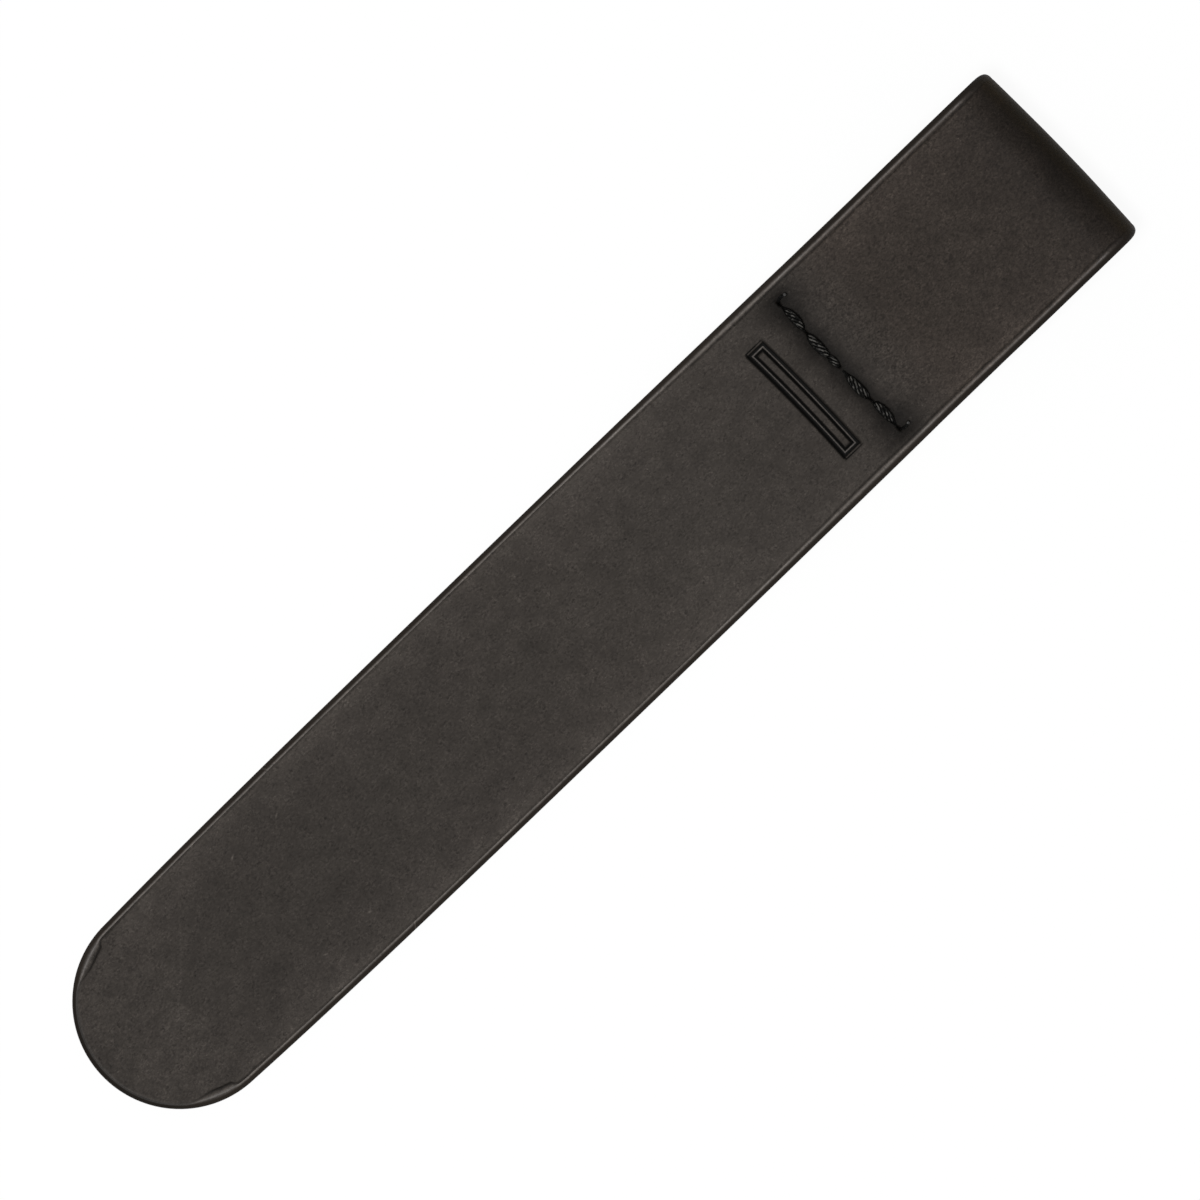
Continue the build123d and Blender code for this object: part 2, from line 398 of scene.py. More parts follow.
def relief(x, q):
    """Height of the grain side over its plain level, from all that is pressed or sewn into it."""
    leather = bpy.context.scene.bookmark_leather
    border = bpy.context.scene.bookmark_border
    depth, _, _ = border_press(x, q)
    pull, holes = row_pull(x, q)
    groove = fall(np.abs(q - FLAP_ROW_AT), GROOVE_HALF, 0.3 * MM)
    groove = groove * fall(np.abs(x), ROW_REACH + 0.6 * MM, 0.4 * MM)
    height = leather.ripple * (ripple(x, q) - 1.25 * rise(q, FOLD_AT, FLAP_AT - FOLD_AT))
    height = height - border.depth * depth - leather.valley_depth * pull
    return height - HOLE_DEPTH * holes - GROOVE_DEPTH * groove


def border_shift(x, q):
    """How far the leather is drawn along the strap, so that the border is bowed."""
    border = bpy.context.scene.bookmark_border
    off = np.abs(q - ROW_AT + border.offset)
    near = fall(off, 3.0 * MM, 1.4 * MM)
    return border.bow * near * np.clip(1.0 - (2 * x / border.length) ** 2, -0.3, 1.0)


# Leather meshes

EDGE_STEPS = 8  # from the bead's crest round to the side
CREASE_STEPS = 4  # in each wall of the creased line
EASE_STEPS = 4  # from the even grid to the creased line
UNDER_STEPS = 4  # round the edge on the flesh side
UNDER_ROUND = 0.35 * MM  # rounding of the edge on the flesh side
UNDER_SHARES = (0.97, 0.9, 0.8, 0.65, 0.5, 0.33, 0.16, 0.0)  # places across half the flesh side
GRID_EVEN = 0.2 * MM  # between points across the strap
GRID_FINE = 0.04 * MM  # between points on the walls of the border
GRID_ALONG = 0.6 * MM  # between plain sections
SEAM_STEP = 0.1 * MM  # from a seam to the section past it, which only gives normals
NEAR = 1e-9  # room for rounding where sections are chosen by place


def grid_across():
    """Places across half the strap, closer together at the ends of the border."""
    border = bpy.context.scene.bookmark_border
    fine_from = border.length / 2 - 1.1 * MM
    fine_to = border.length / 2 + 0.2 * MM
    even = np.arange(0.0, fine_from, GRID_EVEN)
    fine = np.arange(fine_from, fine_to, GRID_FINE)
    outer = np.arange(fine_to, ROW_REACH - 0.2 * MM, GRID_EVEN)
    return np.concatenate([even, fine, outer])


def shares_of(steps):
    """Even shares of a whole, the last of them 1, as a row."""
    return np.arange(1, steps + 1)[None, :] / steps


class Section:
    """Half sections of the strap from the middle of the grain side, round the edge, to the flesh side."""

    def __init__(self, width, crease, strength, crest):
        leather = bpy.context.scene.bookmark_leather
        width, crease, strength, crest = (np.asarray(v)[:, None] for v in (width, crease, strength, crest))
        ones = np.ones_like(width)
        grid = grid_across()[None, :]
        wall_foot = width - crease - leather.crease_width
        grid = grid * np.minimum(1.0, (wall_foot - 0.15 * MM) / grid[0, -1])
        step, ease = shares_of(CREASE_STEPS), shares_of(EASE_STEPS)
        turn, under = shares_of(EDGE_STEPS) * pi / 2, shares_of(UNDER_STEPS) * pi / 2
        shares = np.array(UNDER_SHARES)[None, :]
        drop = leather.crease_depth * strength
        x = [grid, grid[:, -1:] + (wall_foot - grid[:, -1:]) * ease]
        z = [np.zeros_like(grid), np.zeros_like(ones * ease)]
        x += [wall_foot + leather.crease_width * step, width - crease + (crease - crest) * step]
        z += [-drop * smooth(step), -drop * (1.0 - smooth(step))]
        x += [width - crest * (1.0 - np.sin(turn)), width * np.ones((1, 2))]
        z += [-leather.bead_drop * (1.0 - np.cos(turn)) * ones]
        self.grain_columns = sum(part.shape[1] for part in z)
        wall = LEATHER - UNDER_ROUND - leather.bead_drop
        z += [-leather.bead_drop - wall * np.array([[0.5, 1.0]]) * ones]
        x += [width - UNDER_ROUND * (1.0 - np.cos(under)), (width - UNDER_ROUND) * shares]
        z += [(-LEATHER + UNDER_ROUND * (1.0 - np.sin(under))) * ones]
        z += [-LEATHER * np.ones_like(ones * shares)]
        self.x = np.concatenate(x, axis=1)
        self.z = np.concatenate(z, axis=1)
        self.inset = width - self.x
        full = np.ones_like(self.x)
        self.crease, self.strength, self.crest = crease * full, strength * full, crest * full
        self.grain = np.zeros(self.x.shape, bool)
        self.grain[:, : self.grain_columns] = True


def edge_tone(section, q, on_loop):
    """Tone of the bead, which is lighter partly from wear and partly from a painted highlight, painted shade
    in the creased line, a lighter shoulder past it, and how proud the bead is.
    """
    inset, crease, strength, crest = section.inset, section.crease, section.strength, section.crest
    bead_reach = 0.17 * MM + 0.17 * np.clip(crease - crest - 0.15 * MM, 0.0, None)
    bead = strength * hump(inset, crest, bead_reach)
    wide = rise(crease, 0.9 * MM, 0.3 * MM)
    by_step = hump(q, 0.0, 4 * MM)
    line_reach = (0.09 + 0.04 * wide + 0.04 * by_step) * MM
    pressed = strength * hump(inset, crease, line_reach)
    past = np.clip(inset - crease, 0.0, None)
    shoulder = 0.30 * np.exp(-past / (0.8 * MM)) + (0.19 + 0.10 * on_loop) * np.exp(-past / (4.0 * MM))
    shoulder = shoulder * rise(q, -6 * MM, 16 * MM)
    # The bead's light is partly worn leather and partly a painted highlight; the dark of the creased line is
    # painted shade
    bead_wear_and_highlight = (1.76 - 0.66 * on_loop) * (1.0 - 0.76 * wide * fall(q, 0.0, 2.5 * MM))
    bead_wear_and_highlight = bead_wear_and_highlight * bead * np.clip(1.0 - 0.8 * pressed, 0.0, 1.0)
    crease_shade = (0.50 + 0.18 * wide - 0.06 * by_step) * np.clip(pressed, 0.0, 1.2)
    return 1.0 + np.where(inset > crease, shoulder, bead_wear_and_highlight) - crease_shade, bead


def row_shade_and_glint(x, q):
    """Painted shade of the leather that the stitches pull down, past the row's ends too, and a painted glint
    by each end.
    """
    off = np.abs(x)
    pull, holes = row_pull(x, q)
    at_ends = rise(off, 9.9 * MM, 1.0 * MM) * fall(off, 11.8 * MM, 0.25 * MM)
    # Painted shade in the stitch valley, in the holes and past the row's ends, and a painted glint by each
    # end
    dark = (1.0 - 0.80 * pull) * (1.0 - 0.4 * holes) * (1.0 - 0.52 * at_ends * hump(q, ROW_AT, 3.3 * MM))
    glint = 0.5 * hump(off, 9.82 * MM, 0.13 * MM) * hump(q, ROW_AT + 1.65 * MM, 0.13 * MM)
    return dark, glint


def scuff_tone(x, q):
    """Light of the small scuffed marks on the tail."""
    tone = 0.0
    for off_middle, place in SCUFFS:
        slant = np.abs(x) - off_middle - 0.4 * (q - place)
        tone = tone + 1.7 * hump(slant, 0.0, 0.11 * MM) * hump(q, place, 0.25 * MM)
    return tone


def finish_masks(section, x, q):
    """Tint, which carries painted shade and painted highlights, paint and its shade, shine and crumpling of
    the leather at the points of a section.
    """
    inset = section.inset
    on_loop = rise(q, ROW_AT, 10 * MM)
    on_flap = rise(q, FOLD_APEX_AT, 6 * MM)
    _, line, walls = border_press(x, q)
    tone, bead = edge_tone(section, q, on_loop)
    dark, glint = row_shade_and_glint(x, q)
    # Painted shade of the row and of the border's walls, painted glints by the row's ends and a painted
    # highlight on the border's floor line
    tone = (tone * dark + glint) * (1.0 - 0.98 * walls) * (1.0 + 0.4 * line)
    scratch = hump(q - 0.8 * inset, NICK_AT - 0.27 * MM, 0.09 * MM) * fall(inset, 0.8 * MM, 0.2 * MM)
    # Painted shade on the loop and round the fold and a painted highlight on the fold's rim; the nick and
    # the scuffs are marks of the leather
    tone = tone * tone_and_loop_shade(x, q) * fold_shade_and_rim_highlight(x, q) + 1.3 * scratch + scuff_tone(x, q)
    # The painted shade on the loop and at the fold's rim is warmer
    at_rim = rise(q, FOLD_AT + 3 * MM, 2.4 * MM) * (1.0 - on_flap)
    shade_tint = on_loop[..., None] * LOOP_SHADE_TINT + at_rim[..., None] * RIM_SHADE_TINT
    painted = 0.43 * MM + 0.05 * MM * on_loop + 0.10 * MM * fall(q, -6 * MM, 4 * MM)
    paint = (1.0 - rise(inset, painted, 0.16 * MM)) * (1.0 - 0.85 * scratch)
    # Painted shade: the edge paint is darkened on the loop and at the tip's end
    shade = 1.0 - 0.24 * on_loop - 0.48 * fall(q, -5 * MM, 5 * MM)
    shine = np.clip(bead + 0.6 * line, 0.0, 1.0)
    by_row = hump(q, ROW_AT + 4 * MM, 2.4 * MM) * fall(np.abs(x), 10 * MM, 3 * MM)
    crumple = 0.65 * on_loop - 0.4 * on_flap + 0.7 * by_row + 0.4 * fall(q, 6 * MM, 8 * MM)
    on_grain = section.grain[..., None]
    tint = np.where(on_grain, tone[..., None] * (1.0 - shade_tint), 1.0)
    finish = np.where(on_grain, np.stack([shine, crumple], axis=-1), 0.0)
    return np.concatenate([tint, np.stack([paint, shade], axis=-1), finish], axis=-1)


def tone_and_loop_shade(x, q):
    """Slow changes of the leather's tone along the strap, and painted shade that darkens the loop towards
    the fold.
    """
    middle = fall(np.abs(x), 9.5 * MM, 4 * MM)
    y = q + TIP_CENTRE_Y
    tipward = fall(y, -36 * MM, 10 * MM)
    tone = 1.0 + 0.07 * fall(y, -56 * MM, 8 * MM) - 0.09 * middle * hump(y, -44 * MM, 11 * MM)
    tone = tone + 0.06 * tipward * ripple(1.7 * x, 1.7 * q)
    tone = tone + 0.10 * fall(y, -57 * MM, 6 * MM) * ripple(6 * x, 5 * q)
    tone = tone - 0.16 * hump(y, -73.6 * MM, 0.9 * MM) * hump(x, -1.2 * MM, 4.5 * MM)
    tone = tone + 0.10 * hump(y, 7 * MM, 15 * MM) - 0.06 * hump(y, -53.5 * MM, 3 * MM)
    # Painted shade: the loop darkens as it rises towards the fold
    on_loop = 0.12 * rise(q, ROW_AT, 3 * MM) + 0.15 * rise(q, LOOP_AT, FOLD_AT - LOOP_AT)
    rubbed = 0.05 * hump(q, ROW_AT + 3.9 * MM, 2.4 * MM) * fall(np.abs(x), 8.5 * MM, 3 * MM)
    darker_sides = 0.03 * hump(q, ROW_AT + 6.8 * MM, 2 * MM) * rise(np.abs(x), 6.5 * MM, 2 * MM)
    return tone * (1.0 - on_loop + rubbed - darker_sides)


def fold_shade_and_rim_highlight(x, q):
    """Painted shade where the leather bends away round the fold, and a painted highlight on the rim at its
    end.
    """
    uneven = 0.5 * MM * np.sin(x / (3.1 * MM) + 0.7) + 0.3 * MM * np.sin(x / (1.3 * MM))
    edge = rise(np.abs(x), 6 * MM, 4 * MM)
    start = FOLD_AT - (2.4 + 3.6 * edge) * MM - uneven
    dark = rise(q, start, (7.8 + 5.6 * edge) * MM)
    dark = dark * (1.0 - rise(q, FOLD_TOP_AT + 9 * MM, 5 * MM))
    # Painted shade round the fold and a painted highlight on its rim
    return (1.0 - 0.66 * dark) * (1.0 + 0.45 * hump(q, FOLD_AT + 6.8 * MM, 0.5 * MM))


def along_places():
    """Distances along the strap at which it has a section, closer together where there is more detail."""
    border = bpy.context.scene.bookmark_border
    border_at = ROW_AT - border.offset
    border_half = border.height / 2 + 0.15 * MM
    by_row = 1.2 * MM
    # Where each stretch ends, and the distance between its sections
    stretches = []
    for _, place in SCUFFS:
        stretches += [(place - 0.6 * MM, GRID_ALONG), (place + 0.6 * MM, 0.1 * MM)]
    stretches += [
        (NICK_AT - 1 * MM, GRID_ALONG),
        (NICK_AT + 1 * MM, 0.06 * MM),
        (border_at - border_half - 1 * MM, GRID_ALONG),
        (border_at - border_half, GRID_EVEN),
        (border_at + border_half, GRID_FINE),
        (ROW_AT - by_row, GRID_EVEN),
        (ROW_AT + by_row, 0.08 * MM),
        (SEAM_AT, GRID_EVEN),
        (LOOP_AT + 2 * MM, 0.3 * MM),
        (FOLD_AT, GRID_ALONG),
        (FLAP_AT, 0.3 * MM),
        (FLAP_ROW_AT - by_row, 0.8 * MM),
        (FLAP_ROW_AT + by_row, 0.1 * MM),
        (END_AT - FLAP_CORNER, 0.7 * MM),
        (LAST_AT, GRID_EVEN),
    ]
    places, start = [], 0.0
    for end, step in stretches:
        count = max(1, round((end - start) / step))
        places.append(start + (end - start) * np.arange(count) / count)
        start = end
    return np.concatenate([*places, [LAST_AT]])


def joined(numbers, loop):
    """Faces between the rows of a block of point numbers. Rows are closed if loop is set."""
    right = np.roll(numbers, -1, axis=1) if loop else numbers[:, 1:]
    left = numbers if loop else numbers[:, :-1]
    return np.stack([left[:-1], left[1:], right[1:], right[:-1]], axis=-1)


class Patch:
    """Points, faces and finish of one piece of leather, gathered before it becomes a mesh."""

    def __init__(self):
        self.points, self.flat, self.masks, self.faces, self.flesh = [], [], [], [], []
        self.count = 0

    def add(self, points, flat, masks):
        """Adds a block of points and returns the numbers they got."""
        shape = points.shape[:-1]
        self.points.append(points.reshape(-1, 3))
        self.flat.append(flat.reshape(-1, 3))
        self.masks.append(masks.reshape(-1, masks.shape[-1]))
        numbers = self.count + np.arange(int(np.prod(shape))).reshape(shape)
        self.count += numbers.size
        return numbers

    def quads(self, numbers, flesh, loop=False):
        """Adds the faces between the rows of a block. flesh marks the rough columns."""
        block = joined(numbers, loop)
        self.faces.extend(block.reshape(-1, 4).tolist())
        self.flesh.extend(np.broadcast_to(flesh[: block.shape[1]], block.shape[:2]).ravel().tolist())


def section_points(section, q, side):
    """Places in the frame, places on the flat strap and finish of one side of the strap's sections."""
    leather = bpy.context.scene.bookmark_leather
    along = np.broadcast_to(q[:, None], section.x.shape)
    x = side * section.x
    lift = section.z + np.where(section.grain, relief(x, along), 0.0)
    y, z, heading = LINE.at((along + np.where(section.grain, border_shift(x, along), 0.0)).ravel())
    y, z, heading = (v.reshape(x.shape) for v in (y, z, heading))
    place_y = y - lift * np.sin(heading)
    place_z = z + lift * np.cos(heading)
    out = np.clip((y - FOLD_CENTRE_Y) / FOLD_RADIUS, 0.0, 1.0)
    place_y = place_y - leather.fold_bow * out * (x / HALF_WIDTH) ** 2
    masks = finish_masks(section, x, along)
    return np.stack([x, place_y, place_z], axis=-1), np.stack([x, along, lift], axis=-1), masks


def ribbon(patch, q):
    """Adds the strap's sections at distances q as closed rings, and returns their numbers."""
    section = Section(half_width(q), *side_crease(q))
    sides = [section_points(section, q, side) for side in BOTH_SIDES]
    ring = [np.concatenate([right, left[:, -2:0:-1]], axis=1) for right, left in zip(*sides)]
    numbers = patch.add(*ring)
    columns = np.arange(ring[0].shape[1])
    half = section.x.shape[1] - 1
    rough = np.minimum(columns, 2 * half - 1 - columns) > section.grain_columns + 3
    patch.quads(numbers[:, ::-1], rough[::-1], loop=True)
    return numbers, half


def tip_fan(patch, first_ring, half):
    """Adds the round tip as spokes about its centre, joined to the two halves of the first ring."""
    spokes = round(pi * TIP_RADIUS / GRID_ALONG)
    angle = np.linspace(pi / 2, -pi / 2, spokes + 1)[1:-1]
    section = Section(np.full(angle.shape, TIP_RADIUS), *tip_crease(angle))
    x = section.x * np.sin(angle)[:, None]
    q = -section.x * np.cos(angle)[:, None]
    lift = section.z + np.where(section.grain, relief(x, q), 0.0)
    points = np.stack([x, TIP_CENTRE_Y + q, LEATHER + lift], axis=-1)
    flat = np.stack([x, q, lift], axis=-1)
    masks = finish_masks(section, x, q)
    inner = patch.add(points[:, 1:-1], flat[:, 1:-1], masks[:, 1:-1])
    right, left = first_ring[1:half], first_ring[: half : -1]
    block = np.concatenate([right[None, :], inner, left[None, :]])
    columns = np.arange(1, half)
    patch.quads(block, columns > section.grain_columns + 2)
    for pole, column, flip in ((first_ring[0], 0, 1), (first_ring[half], -1, -1)):
        for one, two in zip(block[:-1, column], block[1:, column]):
            patch.faces.append([pole, one, two][::flip])
            patch.flesh.append(column == -1)


def leather_piece(name, q, seams, fan=False, end=False):
    """Makes one leather object from the strap's sections. At a seam the next section gives its normals."""
    patch = Patch()
    before = [q[0] - SEAM_STEP] if seams[0] else []
    after = [q[-1] + SEAM_STEP] if seams[1] else []
    numbers, half = ribbon(patch, np.concatenate([before, q, after]))
    if fan:
        tip_fan(patch, numbers[0], half)
    points = np.concatenate(patch.points)
    spare, at_seam = np.zeros((2, len(points)), bool)
    for seam, past, last in ((seams[0], 0, 1), (seams[1], -1, -2)):
        spare[numbers[past]] |= seam
        at_seam[numbers[last]] |= seam
    whole = bpy.data.meshes.new(name + "_whole")
    whole.from_pydata(points, [], patch.faces)
    normals = np.zeros((len(points), 3), np.float32)
    whole.vertex_normals.foreach_get("vector", normals.ravel())
    bpy.data.meshes.remove(whole)

    kept = ~spare
    renumber = np.cumsum(kept) - 1
    faces = [[int(renumber[v]) for v in face] for face in patch.faces if kept[face].all()]
    flesh = [rough for face, rough in zip(patch.faces, patch.flesh) if kept[face].all()]
    caps = [numbers[1][::-1]] if seams[0] else []
    caps += [numbers[-2]] if seams[1] else []
    caps += [numbers[-1]] if end else []
    open_faces = len(faces)
    faces += [[int(renumber[v]) for v in cap] for cap in caps]
    flesh += [True] * len(caps)

    mesh = bpy.data.meshes.new(name)
    mesh.from_pydata(points[kept], [], faces)
    masks = np.concatenate(patch.masks)[kept]
    add_layer(mesh, "flat", np.concatenate(patch.flat)[kept])
    add_layer(mesh, "tint", masks[:, :3])
    for column, layer in enumerate(("paint", "shade", "shine", "crumple"), start=3):
        add_layer(mesh, layer, masks[:, column])
    mesh.polygons.foreach_set("material_index", np.array(flesh, np.int32))
    mesh.materials.append(grain_leather())
    mesh.materials.append(flesh_leather())
    corners = np.zeros(len(mesh.loops), np.int32)
    mesh.loops.foreach_get("vertex_index", corners)
    own = np.where(at_seam[kept][corners][:, None], normals[kept][corners], 0.0)
    first_cap = sum(len(face) for face in faces[:open_faces])
    own[first_cap:] = 0.0
    for polygon in mesh.polygons[open_faces:]:
        polygon.use_smooth = False
    mesh.normals_split_custom_set(own.tolist())
    piece = placed(name, mesh)
    return piece


# Threads

ROUTE_STEPS = 40  # between two stops of a route, before it is taken evenly


def eased_route(stops, step):
    """Evenly taken points of a smooth curve through given stops. A stop may hold more values."""
    stops = np.array(stops)
    ends = np.concatenate([2 * stops[:1] - stops[1:2], stops, 2 * stops[-1:] - stops[-2:-1]])
    fine = []
    for a, b, c, d in zip(ends[:-3], ends[1:-2], ends[2:-1], ends[3:]):
        t = np.linspace(0.0, 1.0, ROUTE_STEPS, endpoint=False)[:, None]
        curve = 2 * b + (c - a) * t + (2 * a - 5 * b + 4 * c - d) * t**2 + (3 * b - a - 3 * c + d) * t**3
        fine.append(curve / 2)
    fine = np.concatenate([*fine, stops[-1:]])
    gone = np.concatenate([[0.0], np.cumsum(np.linalg.norm(np.diff(fine[:, :3], axis=0), axis=1))])
    places = np.linspace(0.0, gone[-1], max(4, round(gone[-1] / step)))
    return np.stack([np.interp(places, gone, column) for column in fine.T], axis=1), places


def across_frame(route):
    """Two directions square to a route at each of its points."""
    ahead = np.gradient(route, axis=0)
    ahead /= np.linalg.norm(ahead, axis=1, keepdims=True)
    side = np.cross(ahead, np.where(np.abs(ahead[:, 1:2]) > 0.8, (1.0, 0.0, 0.0), (0.0, 1.0, 0.0)))
    side /= np.linalg.norm(side, axis=1, keepdims=True)
    return np.cross(side, ahead), side


PLIES = 7
PLY_SPREAD = 1.0 / sin(pi / PLIES)  # plies' distance from the middle, in ply radii
PLY_FILL = 0.98  # share of its room that a ply fills
YARNS = 4  # ridges round one ply
YARN_RISE = 0.07  # height of a ridge, as a share of the ply's radius
YARN_TURN = 0.16 * MM  # length over which the ridges turn by one radian
FIBRE_SHIFT = 3 * MM  # from ply to ply, so that their fibres differ
ROUND = 16  # points round one ply
THREAD_STEP = 0.045 * MM  # between sections of a thread
BEAD_STEP = 0.03 * MM  # between sections of a melted bead
BEAD_TIP = 0.05 * MM  # least radius of a melted bead


class ThreadPatch:
    """Points and faces of a thread, gathered before it becomes a mesh."""

    def __init__(self):
        self.points, self.lay, self.rub, self.faces = [], [], [], []
        self.count = 0

    def tube(self, route, radius, places, ply, sides, axis=None, reach=None):
        """Adds one ply as a closed tube with the ridges of its yarns. It gets a painted highlight where it
        stands proud and faces up.
        """
        flat, upright = across_frame(route)
        angle = np.arange(ROUND) * 2 * pi / ROUND
        ridges = 1.0 + YARN_RISE * np.cos(YARNS * angle[None, :] - places[:, None] / YARN_TURN)
        bulge = (radius[:, None] * ridges)[..., None]
        ring = np.cos(angle)[None, :, None] * flat[:, None, :]
        ring = ring + np.sin(angle)[None, :, None] * upright[:, None, :]
        rings = route[:, None, :] + bulge * ring
        rub = np.zeros(rings.shape[:2])
        if axis is not None:
            out = (rings - axis[:, None, :]) / reach[:, None, None]
            far = np.linalg.norm(out, axis=-1)
            # Painted highlight on the outer, upward faces of each ply
            rub = rise(far, 0.93, 0.07) * rise(out[..., 2] / far, 0.45, 0.4)
            rub = rub * rise(reach[:, None], 0.32 * MM, 0.14 * MM)
        across = np.cos(angle)[None, :] * radius[:, None] + ply * FIBRE_SHIFT
        up = np.sin(angle)[None, :] * radius[:, None]
        lay = np.stack(np.broadcast_arrays(places[:, None], across, up), axis=-1)
        for side in sides:
            first = self.count
            self.points.append((rings * (side, 1.0, 1.0)).reshape(-1, 3))
            self.lay.append(lay.reshape(-1, 3))
            self.rub.append(rub.ravel())
            numbers = first + np.arange(rings.shape[0] * ROUND).reshape(-1, ROUND)
            self.count += numbers.size
            block = joined(numbers, True).reshape(-1, 4)
            ends = [numbers[0], numbers[-1][::-1]]
            order = -1 if side > 0 else 1
            self.faces.extend(face[::order] for face in block.tolist())
            self.faces.extend(end.tolist()[::order] for end in ends)

    def twist(self, stops, lay, start, sides):
        """Adds a twisted thread along stops of (x, y, z, radius). The plies close up where it is thin."""
        route, places = eased_route(stops, THREAD_STEP)
        radius = route[:, 3] / (1.0 + PLY_SPREAD)
        flat, upright = across_frame(route[:, :3])
        for ply in range(PLIES):
            angle = start + 2 * pi * (ply / PLIES + places / lay)
            out = np.cos(angle)[:, None] * flat + np.sin(angle)[:, None] * upright
            centre = route[:, :3] + (radius * PLY_SPREAD)[:, None] * out
            self.tube(centre, radius * PLY_FILL, places, ply, sides, route[:, :3], route[:, 3])

    def piece(self, name, material):
        """Makes the gathered thread an object."""
        mesh = bpy.data.meshes.new(name)
        mesh.from_pydata(np.concatenate(self.points), [], self.faces)
        mesh.shade_smooth()
        add_layer(mesh, "lay", np.concatenate(self.lay))
        add_layer(mesh, "rub", np.concatenate(self.rub))
        mesh.materials.append(material)
        piece = placed(name, mesh)
        return piece


def on_row(stops):
    """Stops of (x, along, height over the strap, radius) in millimetres, put on the stitch row in metres."""
    return [
        (x * MM, STITCH_Y + along * MM, PANEL_HIGH.z + height * MM, radius * MM)
        for x, along, height, radius in stops
    ]


# Materials

NOISE_LOW, NOISE_HIGH = 0.3, 0.7  # range that a noise rarely leaves


class Nodes:
    """The node tree of a material or of the world, with short calls that add and link nodes."""

    def __init__(self, owner):
        self.owner = owner
        self.owner.use_nodes = True
        self.tree = self.owner.node_tree
        self.shader = self.tree.nodes.get("Principled BSDF")

    def link(self, source, target):
        """Joins an output to an input."""
        self.tree.links.new(source, target)

    def feed(self, socket, value):
        """Links a socket's source, or sets its value."""
        if isinstance(value, bpy.types.NodeSocket):
            self.link(value, socket)
        else:
            socket.default_value = value

    def attribute(self, name, output="Fac"):
        """A layer that the mesh carries."""
        node = self.tree.nodes.new("ShaderNodeAttribute")
        node.attribute_name = name
        return node.outputs[output]

    def noise(self, vector, size, detail=2.0, roughness=0.5, distortion=0.0):
        """Soft noise with lumps of a size."""
        node = self.tree.nodes.new("ShaderNodeTexNoise")
        node.inputs["Scale"].default_value = 1.0 / size
        node.inputs["Detail"].default_value = detail
        node.inputs["Roughness"].default_value = roughness
        node.inputs["Distortion"].default_value = distortion
        self.link(vector, node.inputs["Vector"])
        return node.outputs["Fac"]

    def cells(self, vector, size):
        """Rounded cells of a size, from their middles outwards."""
        node = self.tree.nodes.new("ShaderNodeTexVoronoi")
        node.feature = "SMOOTH_F1"
        node.inputs["Scale"].default_value = 1.0 / size
        node.inputs["Smoothness"].default_value = 0.6
        self.link(vector, node.inputs["Vector"])
        return node.outputs["Distance"]

    def spread(self, value, low, high, start=NOISE_LOW, end=NOISE_HIGH):
        """Maps a value from start and end to low and high."""
        node = self.tree.nodes.new("ShaderNodeMapRange")
        for index, number in ((0, value), (1, start), (2, end), (3, low), (4, high)):
            self.feed(node.inputs[index], number)
        return node.outputs[0]

    def math(self, operation, *values):
        """One sum or product of values or outputs."""
        node = self.tree.nodes.new("ShaderNodeMath")
        node.operation = operation
        for index, value in enumerate(values):
            self.feed(node.inputs[index], value)
        return node.outputs[0]

    def times(self, vector, amounts):
        """A vector times an amount for each of its three parts."""
        node = self.tree.nodes.new("ShaderNodeVectorMath")
        node.operation = "MULTIPLY"
        self.link(vector, node.inputs[0])
        node.inputs[1].default_value = tuple(amounts)
        return node.outputs[0]

    def scaled(self, vector, amount):
        """A colour or vector times one varying amount."""
        node = self.tree.nodes.new("ShaderNodeVectorMath")
        node.operation = "SCALE"
        self.feed(node.inputs[0], vector)
        self.link(amount, node.inputs["Scale"])
        return node.outputs[0]

    def mix(self, amount, one, two):
        """One colour that gives way to another."""
        node = self.tree.nodes.new("ShaderNodeMix")
        node.data_type = "RGBA"
        self.feed(node.inputs[0], amount)
        for socket, value in ((node.inputs[6], one), (node.inputs[7], two)):
            self.feed(socket, value if isinstance(value, bpy.types.NodeSocket) else (*value, 1.0))
        return node.outputs[2]

    def bump(self, height, distance, strength):
        """Small relief that only the light sees."""
        node = self.tree.nodes.new("ShaderNodeBump")
        node.inputs["Distance"].default_value = distance
        node.inputs["Strength"].default_value = strength
        self.link(height, node.inputs["Height"])
        self.link(node.outputs[0], self.shader.inputs["Normal"])

    def finish(self, **values):
        """Sets or links the shader's own sockets, named with underscores."""
        for name, value in values.items():
            self.feed(self.shader.inputs[name.replace("_", " ")], value)
        return self.owner


def made_once(build):
    """Lets a material be made by its first piece and shared by the others."""

    def shared():
        found = bpy.data.materials.get(build.__name__)
        return found or build(Nodes(bpy.data.materials.new(build.__name__)))

    return shared


